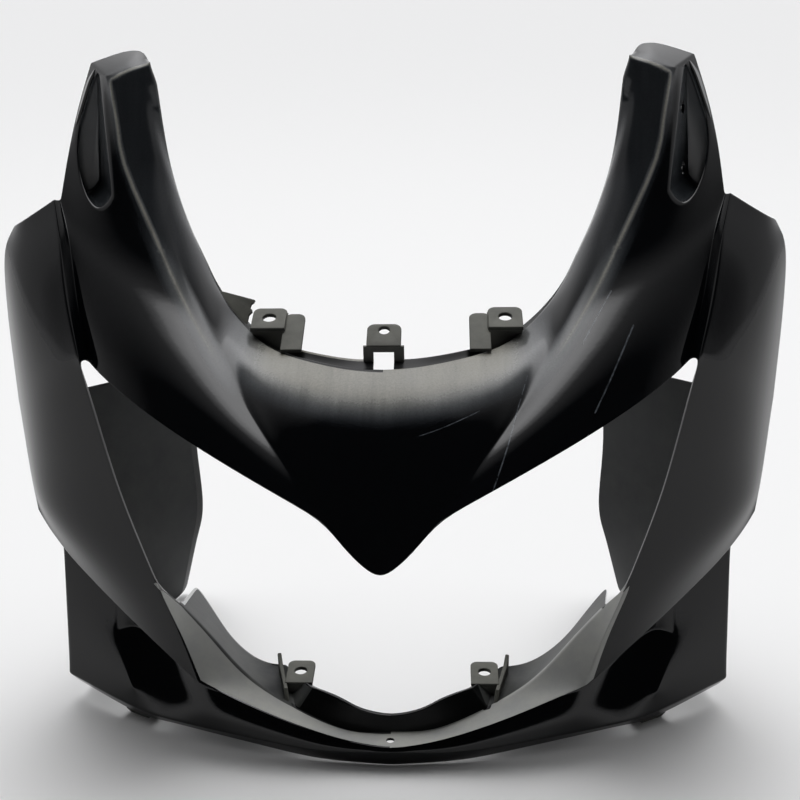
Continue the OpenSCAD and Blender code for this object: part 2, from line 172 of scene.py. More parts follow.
def coons(low, high, left, right):
    """Fills the four-sided space between two curves and the two that join their ends."""
    n, m = len(left) - 1, len(low) - 1
    rows = []
    for r in range(n + 1):
        v = r / n
        row = []
        for k in range(m + 1):
            u = k / m
            row.append((1 - v) * low[k] + v * high[k] + (1 - u) * left[r] + u * right[r]
                       - (1 - u) * (1 - v) * low[0] - u * (1 - v) * low[m]
                       - (1 - u) * v * high[0] - u * v * high[m])
        rows.append(row)
    return rows


def set_in(p, t):
    """The place at depth t in the wall behind a point."""
    way = p[3:]
    return p[:3] + t * way / np.linalg.norm(way)


def gap_to(run, places):
    """How far each place is from a run of points, in millimetres."""
    gaps = np.full(len(places), 1e9)
    for p, q in zip(run, run[1:]):
        along = q[:3] - p[:3]
        t = np.clip((places - p[:3]) @ along / (along @ along), 0, 1)
        gaps = np.minimum(gaps, np.linalg.norm(places - p[:3] - t[:, None] * along, axis=1))
    return gaps


def fade(values, full, none):
    """1 where the values reach full, 0 where they reach none, and a smooth step between."""
    t = np.clip((values - none) / (full - none), 0, 1)
    return t * t * (3 - 2 * t)


# Character lines of the right half, from the middle outwards or from low to high
tip = point(0, -beak_reach, beak_z, 0, 1, -0.4)
crease = point(crease_x, 17 - beak_reach, beak_z + 30, -0.1, 1, -0.4)
ridge_top = point(horn_x - 21, 78, horn_z, -0.4, 0.8, -0.6)
blade_top = point(horn_x - 21 - blade_w, 84, horn_z + 13, 0.5, 0.8, -0.6)
cap_inner = point(horn_x - 18 - blade_w, 97, horn_z + 11, 0.5, 0.2, -0.8)
cap_outer = point(horn_x, 112, horn_z + 7, -0.6, 0.3, -0.8)
eye_cheek = point(eye_x - 3, -22, eye_z - 2, 0, 1, 0)
shoulder_in = point(horn_x + 17, 58, screen_z + 81, -0.2, 1, -0.1)
eye_lobe = point(eye_x, -22 - lobe_step, eye_z, 0.3, 1, 0)
shoulder_out = point(horn_x + 19, 56 - lobe_step/2, screen_z + 84, 0.2, 0.9, -0.4)
lobe_foot = point(foot_x, -58, 51, 0, 1, -0.2)
lobe_corner = point(lobe_x - 14, 16, lobe_z, -0.7, 0.5, 0.3)
lobe_top = point(lobe_x - 7, 66, screen_z + 62, -0.6, 0.4, -0.6)

tip_line = curve([tip, [crease_x*0.45, -beak_reach + 5, beak_z + 10, 0, 1, -0.4], crease], n_tip)
ridge = curve([crease,
    [59, -107, beak_z + 54, -0.1, 1, -0.4], [85, -75, beak_z + 77, -0.15, 1, -0.4],
    [112, -38, screen_z + 2, -0.2, 1, -0.4], [135, -6, screen_z + 28, -0.25, 1, -0.3],
    [160, 28, screen_z + 66, -0.3, 1, -0.3], [182, 54, horn_z - 55, -0.3, 1, -0.2],
    [188, 68, horn_z - 27, -0.3, 1, -0.3], ridge_top], n_ridge)
nose_low = joined(tip_line, ridge)
n_nose = n_tip + n_ridge
screen = curve([[0, -screen_reach, screen_z, 0, 0.3, -1],
    [28, -58, screen_z, 0, 0.3, -1], [72, -24, screen_z - 1, 0.1, 0.4, -1],
    [97, 3, screen_z + 8, 0.3, 0.5, -1], [116, 26, screen_z + 23, 0.5, 0.6, -0.8],
    [129, 44, screen_z + 43, 0.6, 0.7, -0.6], [144, 62, screen_z + 71, 0.7, 0.7, -0.4],
    [157, 82, screen_z + 109, 0.7, 0.7, -0.3], blade_top], n_nose)
roll = curve([[0, -108, screen_z - 14, 0, 0.8, -0.7],
    [36, -98, screen_z - 10, 0, 0.8, -0.7], [79, -68, screen_z - 4, 0, 0.8, -0.7],
    [109, -20, screen_z + 11, 0, 0.9, -0.6], [128, 16, screen_z + 40, 0, 1, -0.4],
    [145, 44, screen_z + 76, 0, 1, -0.4], [160, 64, screen_z + 112, 0, 1, -0.3],
    [169, 74, horn_z + 2, 0.1, 1, -0.3], blade_top - [0, 4, 2, 0.3, 0, 0]], n_nose)
brow = curve([crease, [72, -118, beak_z + 45, -0.2, 1, -0.3], [114, -95, beak_z + 60, -0.3, 1, -0.2],
    [151, -68, eye_z - 23, -0.4, 1, 0], [186, -38, eye_z - 10, -0.5, 0.8, 0], eye_cheek], n_cheek)
cheek_low = curve([eye_cheek, [horn_x - 5, 0, screen_z + 24, 0.1, 1, 0],
    [horn_x + 5, 30, screen_z + 57, 0.1, 1, 0], shoulder_in], n_step)
cheek_high = curve([shoulder_in, [horn_x + 16, 88, horn_z - 51, -0.8, 0.6, 0],
    [horn_x + 10, 104, horn_z - 22, -0.8, 0.5, -0.1], cap_outer], n_ridge - n_step)
cheek_out = joined(cheek_low, cheek_high)
cap_side = line(ridge_top, cap_outer, n_cheek)
step_line = curve([eye_lobe, [horn_x, 2 - lobe_step, screen_z + 27, 0.4, 0.9, 0],
    [horn_x + 9, 30 - lobe_step, screen_z + 60, 0.4, 0.9, 0], shoulder_out], n_step)
foot_line = curve([lobe_foot, [foot_x + 10, -50, 81, 0, 1, -0.2], [foot_x + 26, -42, 120, 0, 1, 0]], n_foot)
eye_line = curve([foot_line[n_foot], [foot_x + 37, -37, 151, 0, 1, 0], [foot_x + 50, -33, 195, -0.1, 1, 0],
    [eye_x - 5, -32, eye_z - 30, -0.2, 1, 0], eye_lobe], n_eye)
lobe_in = joined(joined(foot_line, eye_line), step_line)
panel_edge = curve([lobe_corner, [lobe_x - 10, 22, lobe_z + 27, -0.8, 0.6, 0],
    [lobe_x - 5, 32, lobe_z + 78, -0.8, 0.6, 0]], n_panel - 1)
lobe_edge = curve([panel_edge[n_panel - 1], [lobe_x - 1, 45, screen_z + 3, -0.8, 0.6, 0],
    [lobe_x, 58, screen_z + 44, -0.7, 0.6, -0.2], lobe_top], n_foot + n_eye + n_step - n_panel + 1)
lobe_out = joined(panel_edge, lobe_edge)
lobe_mid = curve([[wing_x - 4, 6, lobe_z - 34, -0.4, 0.9, 0.1], [lobe_x - 30, -18, lobe_z + 10, -0.5, 0.8, 0],
    [lobe_x - 30, -16, lobe_z + 60, -0.5, 0.8, 0], [lobe_x - 26, -6, lobe_z + 120, -0.5, 0.8, 0],
    [lobe_x - 20, 14, screen_z + 26, -0.5, 0.8, 0], [lobe_x - 14, 52, screen_z + 66, -0.5, 0.7, -0.4]],
    n_foot + n_eye + n_step)
chin_line = curve([[0, -chin_reach, chin_z, 0, 0.8, -0.6], [35, 3 - chin_reach, chin_z + 5, 0, 0.8, -0.6],
    [78, 10 - chin_reach, chin_z + 17, 0, 0.8, -0.6], [114, 20 - chin_reach, chin_z + 28, 0, 0.8, -0.6],
    lobe_foot], n_chin)
ledge_line = curve([[0, 18 - chin_reach, chin_z, 0, 0.6, -0.8], [26, 19 - chin_reach, chin_z, 0, 0.6, -0.8],
    [49, 23 - chin_reach, chin_z + 6, 0, 0.5, -0.8], [77, 30 - chin_reach, chin_z + 18, 0, 0.2, -1],
    [104, 40 - chin_reach, chin_z + 33, 0, 0, -1], [foot_x - 6, 52 - chin_reach, chin_z + 60, 0.2, 0.2, -1],
    [foot_x + 15, 57 - chin_reach, chin_z + 82, 0.3, 0.5, -0.8], foot_line[n_foot]], n_chin + n_foot)
wing_top = curve([lobe_foot, [170, -26, 68, 0, 1, 0], [210, -2, 94, -0.2, 1, 0],
    [wing_x - 2, 20, lobe_z - 26, -0.8, 0.6, 0]], n_lobe)
wing_low = point(wing_x - 2, -5, 22, -0.8, 0.5, 0.2)
wing_foot = point(wing_x - 6, -2, 15, -0.6, 0.4, 0.7)
lip_line = curve([[0, -chin_reach - 1, chin_z - 2, 0, 0.8, 0.4], [50, 4 - chin_reach, 12, 0, 0.8, 0.4],
    [100, 16 - chin_reach, 13, 0, 0.8, 0.4], [155, 34 - chin_reach, 13, 0, 0.8, 0.4],
    [190, 50 - chin_reach, 13, -0.2, 0.8, 0.4], wing_low], n_chin + n_lobe)
base_line = curve([[0, 4 - chin_reach, 0, 0, 0.4, 1], [50, 9 - chin_reach, 1, 0, 0.4, 1],
    [101, 21 - chin_reach, 5, 0, 0.4, 1], [157, 39 - chin_reach, 7, 0, 0.4, 1],
    [191, 54 - chin_reach, 6, -0.2, 0.4, 1], wing_foot], n_chin + n_lobe)
rear_line = curve([[rear_x + 21, rear_y, 0, -1, 0, 0.1], [rear_x + 8, rear_y, 49, -1, 0, 0],
    [rear_x - 1, rear_y, 85, -1, 0, 0], [rear_x, rear_y, 140, -1, 0, 0],
    [rear_x - 2, rear_y - 8, 190, -1, 0, 0], [rear_x + 4, rear_y - 26, 222, -1, 0, 0]],
    n_panel + n_wing + 2)
arch_line = curve([[80, -14, 37, 0, 0.2, -1], [103, 5, 27, 0, 0.1, -1], [133, 50, 20, 0.1, 0, -1],
    [157, 98, 19, 0.2, 0, -1], [rear_x + 5, rear_y - 12, 15, 0.4, 0, -1]],
    n_chin + n_foot - n_notch - n_riser)
wing_fold = curve([wing_top[n_crest], [204, -17, 55, -0.2, 1, 0], [192, -32, 34, -0.2, 1, 0.1],
    lip_line[n_chin + n_crest]], n_wing)
riser_line = curve([[0, 22 - chin_reach, 28, 0, 1, -0.1], [21, 23 - chin_reach, 32, 0, 1, -0.1],
    [37, 28 - chin_reach, 39, 0, 1, -0.1], [58, 36 - chin_reach, 43, -0.3, 0.8, -0.5]], n_riser)

# The skins between those lines
nose = crown(nose_low, roll, screen, 1.6, n_blade)
cheek = coons(ridge, cheek_out, brow, cap_side)
cap_rear = curve([cap_outer, [horn_x - 25, 115, horn_z + 14.5, 0, 0.3, -0.9],
    [horn_x - 40, 108, horn_z + 14.5, 0.3, 0.3, -0.8], cap_inner], n_blade)
cap = coons(cap_side, line(blade_top, cap_inner, n_cheek), column(nose, n_nose), cap_rear)
step = span(cheek_low, step_line, 1)
lobe = crown(lobe_in, lobe_mid, lobe_out, 1.3, n_lobe)
lobe_under = span(column(lobe, 0), wing_top, 2)
wing_scoop = coons(joined(chin_line, part(wing_top, 0, n_crest)), part(lip_line, 0, n_chin + n_crest),
    line(chin_line[0], lip_line[0], n_wing), wing_fold)

# That face is set back under a narrow shelf, and comes out again towards its lower edge
scoop_rows = (0.07, 0.38, 0.69)
rearwards = point(0, 1, 0.1, 0, 0, 0)
upper, lower = wing_scoop[0], wing_scoop[n_wing]
for r, down in enumerate(scoop_rows, 1):
    for k in range(n_chin + n_crest):
        height = np.linalg.norm(upper[k][:3] - lower[k][:3])
        flat = wing_scoop[r][k] + (lower[k] - upper[k])*(down - r/n_wing)
        wing_scoop[r][k] = flat + min(scoop_lean*height, scoop_depth)*(1 - down)*rearwards
wing = coons(part(wing_top, n_crest, n_lobe), part(lip_line, n_chin + n_crest, n_chin + n_lobe), wing_fold,
    line(wing_top[n_lobe], wing_low, n_wing))
lip = span(lip_line, base_line, 1)
ledge = span(joined(chin_line, foot_line), ledge_line, 2)
riser = span(part(ledge_line, 0, n_riser), riser_line, n_floor)
floor_pan = span(part(ledge_line, n_riser, n_chin + n_foot - n_notch), arch_line, n_floor)
gusset = span(column(floor_pan, 0), column(riser, n_riser), 1)
side_front = back(joined(joined(back(panel_edge), column(lobe_under, n_lobe)),
    joined(column(wing, n_lobe - n_crest), column(lip, n_chin + n_lobe))))

# Return flanges
flange_w = 13
joggle = 4
return_w = 9
flange_root = [point(*set_in(p, joggle), p[3] + 0.1*k/n_nose, p[4] + 0.3, p[5])
               for k, p in enumerate(screen)]
flange_edge = []
for k, p in enumerate(flange_root):
    u = k/n_nose
    out = flange_w*(1 - 0.8*u**3)*np.array([0, 0.9 - 0.3*u, 0.45 - 0.5*u])
    flange_edge.append(point(*(p[:3] + out), p[3] + 0.3*u, p[4]*(1 - u), p[5]))
outer_edge = joined(joined(back(cheek_high), column(step, n_step)),
    joined(column(lobe, len(lobe_in) - 1), back(lobe_edge)))
return_edge = [point(*(p[:3] + return_w*np.array([-0.3, 0.9, -0.3])), p[3], 0.2*p[4], p[5] - 0.1)
               for p in outer_edge]
side = span(side_front, rear_line, 4)

SKINS = {"nose": nose, "cheek": cheek, "cap": cap, "step": step, "lobe": lobe, "lobe_under": lobe_under,
         "wing_shelf": wing_scoop[:2], "wing_scoop": wing_scoop[1:], "wing": wing, "lip": lip, "ledge": ledge,
         "riser": riser, "floor_pan": floor_pan, "gusset": gusset, "side": side,
         "screen_flange": [screen, flange_root, flange_edge], "return_flange": [outer_edge, return_edge]}

# Free edges of the right half: round the headlight opening, then round the outside
eye_rim = joined(joined(joined(tip_line, brow), joined(column(step, 0), back(eye_line))),
    joined(joined(back(part(ledge_line, n_chin + n_foot - n_notch, n_chin + n_foot)),
        column(floor_pan, n_chin + n_foot - n_notch - n_riser)),
    back(arch_line) + back(riser_line)))
outer_rim = joined(joined(joined(flange_edge, [flange_edge[n_nose], flange_root[n_nose], blade_top]),
    joined(cap[n_blade], back(column(cap, n_cheek)))),
    joined(joined([cap_outer, return_edge[0]], return_edge),
    joined(joined([return_edge[len(return_edge) - 1], panel_edge[n_panel - 1]],
        column(side, len(rear_line) - 1)),
    joined(joined(back(rear_line), back(column(side, 0))), back(base_line)))))

# The shell: outer faces, the same faces set in by the wall, and the rims that close them. Each finish is a
# number in the order of the fairing's materials
GLOSS, MATT, PAINTED_LIT_LEDGE, SHADED, SATIN, TAB = range(6)
# The ledge's pale finish is painted light: its grey stands for the light and reflection the ledge catches
OUTER_FINISH = {"riser": SHADED, "floor_pan": MATT, "gusset": MATT, "ledge": PAINTED_LIT_LEDGE, "screen_flange": SHADED}


def shell_mesh():
    """Builds the closed shell of both halves, and names the edges that lie between two skins."""
    bm = bmesh.new()
    known = {}
    borders = set()

    def vertex(place):
        key = tuple(round(c, 4) + 0.0 for c in place)
        if key not in known:
            known[key] = bm.verts.new(Vector(place) * MM)
        return known[key]

    def face(corners, material):
        ring = []
        for corner in corners:
            v = vertex(corner)
            if v not in ring:
                ring.append(v)
        if len(ring) > 2 and bm.faces.get(ring) is None:
            bm.faces.new(ring).material_index = material

    for sign in (1, -1):
        mirrored = np.array([sign, 1, 1])
        for name, grid in SKINS.items():
            outer = [[p[:3] * mirrored for p in row] for row in grid]
            inner = [[set_in(p, wall) * mirrored for p in row] for row in grid]
            for rows, material in ((outer, OUTER_FINISH.get(name, GLOSS)), (inner, MATT)):
                ends = [row[0] for row in rows], [row[-1] for row in rows]
                for run in (rows[0], rows[-1], *ends):
                    borders.update(frozenset((vertex(a), vertex(b))) for a, b in zip(run, run[1:]))
                for low, high in zip(rows, rows[1:]):
                    for k in range(len(low) - 1):
                        face((low[k], high[k], high[k + 1], low[k + 1]), material)
        for rim in (eye_rim, outer_rim):
            for p, q in zip(rim, rim[1:]):
                face([c * mirrored for c in (p[:3], q[:3], set_in(q, wall), set_in(p, wall))], GLOSS)
    bmesh.ops.recalc_face_normals(bm, faces=bm.faces)
    return bm, borders


# A border that folds by more than this gets a narrow bevel, which keeps it crisp when the shell is rounded.
# The front edge of each horn's cap gets a wider one
CRISP_FOLD = math.radians(17)
FOLD_R = 0.9
CAP_R = 2


def bevel_folds(bm, borders):
    """Bevels each border that folds sharply, and the front of the caps more widely."""
    folds = [edge for edge in bm.edges if len(edge.link_faces) == 2 and frozenset(edge.verts) in borders
             and edge.calc_face_angle() > CRISP_FOLD]
    cap_front = [edge for edge in folds
                 if all(v.co.z > (ridge_top[2] - 0.5) * MM and v.co.y < (blade_top[1] + 2) * MM
                        for v in edge.verts)]
    crisp = [edge for edge in folds if edge not in cap_front]
    for edges, radius in ((crisp, FOLD_R), (cap_front, CAP_R)):
        bmesh.ops.bevel(bm, geom=[edge for edge in edges if edge.is_valid], offset=radius * MM,
                        offset_type="OFFSET", segments=1, profile=0.5, affect="EDGES", clamp_overlap=True,
                        material=-1)


def new_object(name, mesh, materials=()):
    """Adds an object to the scene, with its materials."""
    obj = bpy.data.objects.new(name, mesh)
    bpy.context.scene.collection.objects.link(obj)
    for material in materials:
        mesh.materials.append(material)
    return obj


def finished_mesh(obj):
    """Applies an object's modifiers and returns the result as a plain mesh."""
    graph = bpy.context.evaluated_depsgraph_get()
    return bpy.data.meshes.new_from_object(obj.evaluated_get(graph), depsgraph=graph)


def settle(obj):
    """Puts the object's finished mesh in its place and takes its modifiers off."""
    mesh = finished_mesh(obj)
    obj.modifiers.clear()
    obj.data = mesh


def add_block(bm, front, rear):
    """Closes a block between two rings of places."""
    a, b = [[bm.verts.new(Vector(p) * MM) for p in ring] for ring in (front, rear)]
    bm.faces.new(a)
    bm.faces.new(b)
    for k in range(len(a)):
        j = (k + 1) % len(a)
        bm.faces.new((a[k], a[j], b[j], b[k]))


def mesh_from(bm, name):
    """Turns the faces outwards and gives them as a mesh."""
    bmesh.ops.recalc_face_normals(bm, faces=bm.faces)
    mesh = bpy.data.meshes.new(name)
    bm.to_mesh(mesh)
    bm.free()
    return mesh


def at_mm(x, y, z):
    """A move, in millimetres."""
    return Matrix.Translation(Vector((x, y, z)) * MM)


def tilted(degrees):
    """A turn about X, which lifts a plate's far end."""
    return Matrix.Rotation(math.radians(degrees), 4, "X")


# The pocket that seats a mirror: across x from the seat, up z, and back y along the pocket's depth
pocket_turn = math.radians(23)
pocket_at = point(206, 88, horn_z - 47)
pocket_back = 12
leaf_points = [(-5, 49.5), (-4.2, 45), (-1.35, 10.5), (1.5, -24), (3.4, -30), (7, -34), (11, -36),
               (14.5, -34), (17, -28), (18, -17), (16.2, -2), (12.2, 13), (6.6, 27), (1, 40), (-2.4, 46)]

# The bolts' flat seat at the pocket's inner side, and the section of the pocket's lip, wall and floor
seat_lean = math.atan(5.7 / 69)
seat_x = -0.5
lip_r = 2.2
lip_cells = 5
cup_wall = 2.2
floor_fillet = ((0, 2.5), (0.35, 1.1), (1.1, 0.35), (2.5, 0))


def in_pocket(x, y, z):
    """Turns a place in the right pocket's own axes to the fairing's."""
    c, s = math.cos(pocket_turn), math.sin(pocket_turn)
    return pocket_at + np.array([c * x + s * y, c * y - s * x, z])


def leaf_outline(grow, n=72):
    """The pocket's outline in the plane across its depth, moved outwards by grow."""
    ring = leaf_points + leaf_points[:3]
    smooth = curve([(*p, 0, 0) for p in ring], n * (len(ring) - 1) // len(leaf_points))[:-1]
    start = n // len(leaf_points)
    loop = np.array(smooth)[start:start + n, :2]
    ahead, behind = np.roll(loop, -1, axis=0), np.roll(loop, 1, axis=0)
    along = ahead - behind
    out = np.stack([-along[:, 1], along[:, 0]], axis=1)
    out /= np.linalg.norm(out, axis=1)[:, None]
    centre = loop.mean(axis=0)
    if ((loop - centre) * out).sum() < 0:
        out = -out
    return loop + grow * out


def prism(outline, front, rear, name):
    """A closed block along the pocket's depth, mirrored to both horns."""
    bm = bmesh.new()
    for sign in (1, -1):
        add_block(bm, *[[in_pocket(x, y, z) * (sign, 1, 1) for x, z in outline] for y in (front, rear)])
    return new_object(name, mesh_from(bm, name))


def circle(x, y, d, n=40):
    """A round outline of diameter d about x, y."""
    turns = [2 * math.pi * k / n for k in range(n)]
    return [(x + d / 2 * math.cos(a), y + d / 2 * math.sin(a)) for a in turns]


def upright_block(name, outline, low, high):
    """A cutter for a window or a screw hole: an outline in X and Y, from one height to another."""
    bm = bmesh.new()
    add_block(bm, *[[(x, y, z) for x, y in outline] for z in (low, high)])
    return new_object(name, mesh_from(bm, name))


def cut(obj, cutters):
    """Cuts the blocks out of an object and removes them."""
    for cutter in cutters:
        modifier = obj.modifiers.new(cutter.name, "BOOLEAN")
        modifier.operation = "DIFFERENCE"
        modifier.solver = "EXACT"
        modifier.object = cutter
    settle(obj)
    for cutter in cutters:
        bpy.data.objects.remove(cutter)


def pocket_cups(surface, materials):
    """The lip, wall and floor of each mirror pocket, set into the horn's outer skin."""
    depth = Vector((math.sin(pocket_turn), math.cos(pocket_turn), 0))

    def on_skin(x, z):
        well_in_front = Vector(in_pocket(x, -110, z)) * MM
        return np.array(surface.ray_cast(well_in_front, depth)[0]) / MM

    lip, edge = leaf_outline(lip_r), leaf_outline(0)
    cx, cz = edge.mean(axis=0)
    rings = [[] for _ in range(2 + lip_cells + len(floor_fillet))]
    for (gx, gz), (x, z) in zip(lip, edge):
        outer, mouth = on_skin(gx, gz), on_skin(x, z)
        below = mouth + lip_r * np.array(depth)
        rings[0].append(in_pocket(gx, pocket_back + cup_wall, gz))
        for k in range(lip_cells + 1):
            rings[k + 1].append(arc(outer, mouth, below, math.cos(math.pi / 4), k / lip_cells))
        away = np.array([cx - x, cz - z])
        away /= np.linalg.norm(away)
        for ring, (shift, lift) in zip(rings[lip_cells + 2:], floor_fillet):
            ring.append(in_pocket(x + shift * away[0], pocket_back - lift, z + shift * away[1]))
    bm = bmesh.new()
    for sign in (1, -1):
        loops = [[bm.verts.new(Vector(p * (sign, 1, 1)) * MM) for p in ring] for ring in rings]
        n = len(edge)
        for j, (a, b) in enumerate(zip(loops, loops[1:])):
            for k in range(n):
                face = bm.faces.new((a[k], a[(k + 1) % n], b[(k + 1) % n], b[k]))
                face.material_index = SATIN if j > lip_cells else GLOSS
        bm.faces.new(loops[0])
        bm.faces.new(loops[-1]).material_index = SATIN
    cups = new_object("mirror_pockets", mesh_from(bm, "mirror_pockets"), materials)
    cut(cups, [mirror_hole(z, sign) for z in (-mirror_pitch / 2, mirror_pitch / 2) for sign in (1, -1)])
    return cups


def mirror_hole(z, sign):
    """A round cutter square to the flat seat of a pocket."""
    bm = bmesh.new()
    bmesh.ops.create_cone(bm, cap_ends=True, segments=40, radius1=mirror_hole_d / 2 * MM,
                          radius2=mirror_hole_d / 2 * MM, depth=14 * MM)
    lean = Matrix.Rotation(math.pi / 2 - seat_lean, 4, "Y")
    turn = Matrix.Rotation(-pocket_turn, 4, "Z")
    place = at_mm(*pocket_at) @ turn @ at_mm(seat_x, 0, 0) @ lean @ at_mm(-z, 0, -4)
    bm.transform(Matrix.Scale(sign, 4, (1, 0, 0)) @ place)
    return new_object("mirror_hole", mesh_from(bm, "mirror_hole"))


# Plates, ribs and lugs of the mounting tabs
EDGE_R = 0.6
plate_r = 5


def moulded_plate(outline, place, holes=(), thickness=tab_t, edge=EDGE_R):
    """A flat plate with soft edges, drawn by its outline and its round holes, each x, y and diameter."""
    data = bpy.data.curves.new("plate", "CURVE")
    data.dimensions = "2D"
    data.fill_mode = "BOTH"
    data.extrude = (thickness / 2 - edge) * MM
    data.bevel_depth = edge * MM
    data.bevel_resolution = 2
    data.offset = -edge * MM
    for ring in [outline] + [circle(*hole) for hole in holes]:
        spline = data.splines.new("POLY")
        spline.points.add(len(ring) - 1)
        spline.use_cyclic_u = True
        for p, (x, y) in zip(spline.points, ring):
            p.co = (x * MM, y * MM, 0, 1)
    obj = new_object("plate", data)
    mesh = finished_mesh(obj)
    bpy.data.objects.remove(obj)
    bm = bmesh.new()
    bm.from_mesh(mesh)
    bmesh.ops.remove_doubles(bm, verts=bm.verts, dist=0.02 * MM)
    bm.transform(place @ at_mm(0, 0, thickness / 2))
    bpy.data.meshes.remove(mesh)
    return mesh_from(bm, "plate")


def tongue(w, length, r=plate_r):
    """A rectangle that runs back along Y, with its two far corners round."""
    near = [(-w / 2, 0), (w / 2, 0)]
    right = [(w / 2 - r + r * math.cos(a), length - r + r * math.sin(a)) for a in quarter(0)]
    left = [(r - w / 2 + r * math.cos(a), length - r + r * math.sin(a)) for a in quarter(math.pi / 2)]
    return near + right + left


def quarter(start, n=8):
    """The angles of a quarter turn."""
    return [start + math.pi / 2 * k / n for k in range(n + 1)]


def rib(x, outline, turn=Matrix.Identity(4)):
    """A thin upright rib, drawn by its side view in Y and Z."""
    upright = Matrix(((0, 0, 1, (x - tab_t / 2) * MM), (1, 0, 0, 0), (0, 1, 0, 0), (0, 0, 0, 1)))
    return moulded_plate(outline, turn @ upright)


def box_plate(x0, x1, y0, y1, z0, z1):
    """A plate that fills the box between two corners."""
    return moulded_plate([(x0, y0), (x1, y0), (x1, y1), (x0, y1)], at_mm(0, 0, z0), thickness=z1 - z0)


# Widths, tilts and places of the tabs
low_tab_w = 20
low_tab_z = chin_z + 22
low_tab_y = 42 - chin_reach
side_tab_w = 23
side_tab_tilt = 16
side_tab_at = (side_tab_x, -14, screen_z + 8)
mid_tab_w = 22
mid_tab_tilt = 24
mid_tab_at = (0, 13 - screen_reach, screen_z + 9)
window_w = 13


def on_flange(x):
    """The place x out along the root of the screen flange."""
    run = np.array([p[:3] for p in flange_root])
    return point(x, np.interp(x, run[:, 0], run[:, 1]), np.interp(x, run[:, 0], run[:, 2]))


def web(corners, thickness):
    """A thin four-cornered sheet between two edges, with its thickness to the rear."""
    bm = bmesh.new()
    front = [Vector(corner) for corner in corners]
    add_block(bm, front, [corner + Vector((0, thickness, 0)) for corner in front])
    return mesh_from(bm, "web")


def low_tab():
    """A tab behind the chin, with the step below it and the fin at its side."""
    yield moulded_plate(tongue(low_tab_w, 28), at_mm(low_tab_x, low_tab_y, low_tab_z), [(0, 15, low_hole_d)])
    yield box_plate(low_tab_x - 7, low_tab_x + low_tab_w / 2, low_tab_y, low_tab_y + tab_t,
                    low_tab_z - 9, low_tab_z + 1)
    fin_turn = at_mm(low_tab_x + low_tab_w / 2, low_tab_y, 0) @ Matrix.Rotation(math.radians(-14), 4, "Z")
    yield rib(0, [(-14, 29), (27, 30), (29, 48), (22, 43), (-6, 41)], fin_turn)


def side_tab():
    """A tab on the screen flange, with the lower leaf beside it, its two ribs and the web under it."""
    x, y, z = side_tab_at
    left, right = x - side_tab_w / 2, x + side_tab_w / 2
    place = at_mm(x, y, z) @ tilted(side_tab_tilt)
    yield moulded_plate(tongue(side_tab_w, 24), place, [(0, 12.5, side_hole_d)])
    yield moulded_plate(tongue(14, 38), at_mm(left - 5.5, y - 17, z - 9) @ tilted(side_tab_tilt + 4))
    yield rib(right - 2, [(-2, screen_z + 3), (9, screen_z + 7), (7, screen_z + 15), (-11, screen_z + 10)])
    yield rib(left + 1, [(-22, screen_z - 2), (-8, screen_z + 1), (7, screen_z + 14.5), (-12, screen_z + 10)])
    near, far, sunk = left + 0.5, right - 0.5, (0, 0, 1)
    yield web([(near, y, z + 2.5), (far, y, z + 2.5), on_flange(far) - sunk, on_flange(near) - sunk], 2)


def wing_lug():
    """The short lug that stands below a wing's lip."""
    place = (at_mm(190, 54 - chin_reach, 3) @ Matrix.Rotation(math.radians(28), 4, "Z") @ at_mm(0, 0.6, 0)
             @ tilted(-90))
    outline = [(-13, -10), (13, -10), (12, -2.5), (8, 0), (-9, 0), (-12, -3)]
    yield moulded_plate(outline, place, thickness=13.5)


def middle_tab():
    """The tab in the middle of the flange, on a bridge over its window."""
    place = at_mm(*mid_tab_at) @ tilted(mid_tab_tilt)
    yield moulded_plate(tongue(mid_tab_w, 20.5), place, [(0, 14.5, mid_hole_d)])
    half, gap = mid_tab_w / 2 + 2, window_w / 2
    low, sill, high = screen_z - 2, screen_z + 7, screen_z + 11
    bridge = [(-half, low), (-gap, low), (-gap, sill), (gap, sill), (gap, low), (half, low), (half, high),
              (-half, high)]
    upright = Matrix(((1, 0, 0, 0), (0, 0, -1, (12 - screen_reach + tab_t) * MM), (0, 1, 0, 0), (0, 0, 0, 1)))
    yield moulded_plate(bridge, upright)


def torn_flap():
    """What is left of the flap beside the left screen tab: a thin sheet that ends in a jagged break."""
    along = Vector((-0.57, 0.69, 0.45)).normalized()
    rise = Vector((5, 10, 11))
    up = (rise - rise.dot(along) * along).normalized()
    out = along.cross(up)
    place = at_mm(-98, 10, screen_z + 6.5) @ Matrix((along, up, out)).transposed().to_4x4()
    outline = [(-2, -3), (37, -6), (35, 0), (10.4, 15), (9.2, 13), (9.6, 11.5), (7.8, 9), (5.6, 9.3),
               (3.9, 8.5), (3.4, 5.2), (0.4, 2.4), (-1.5, 1)]
    return moulded_plate(outline, place, thickness=2, edge=0.15)


# Materials
def linear(hex_colour):
    """Turns an sRGB hex colour to linear light."""
    channels = [int(hex_colour[i:i + 2], 16) / 255 for i in (1, 3, 5)]
    return (*[c / 12.92 if c <= 0.04045 else ((c + 0.055) / 1.055) ** 2.4 for c in channels], 1)


def add(tree, kind, *values, **settings):
    """Adds a node. Values go to its inputs in order, settings name its properties or inputs, and a node or an
    output among them is linked."""
    node = tree.nodes.new("ShaderNode" + kind)
    named = {key: value for key, value in settings.items() if not hasattr(node, key)}
    for key, value in settings.items():
        if key not in named:
            setattr(node, key, value)
    sockets = [node.inputs[key.replace("_", " ")] for key in named]
    for socket, value in [*zip(node.inputs, values), *zip(sockets, named.values())]:
        if isinstance(value, bpy.types.Node):
            value = next(output for output in value.outputs if output.enabled)
        if isinstance(value, bpy.types.NodeSocket):
            tree.links.new(value, socket)
        else:
            socket.default_value = value
    return node


def new_material(name):
    """An empty material and its node tree."""
    material = bpy.data.materials.new(name)
    material.use_nodes = True
    material.node_tree.nodes.clear()
    return material, material.node_tree


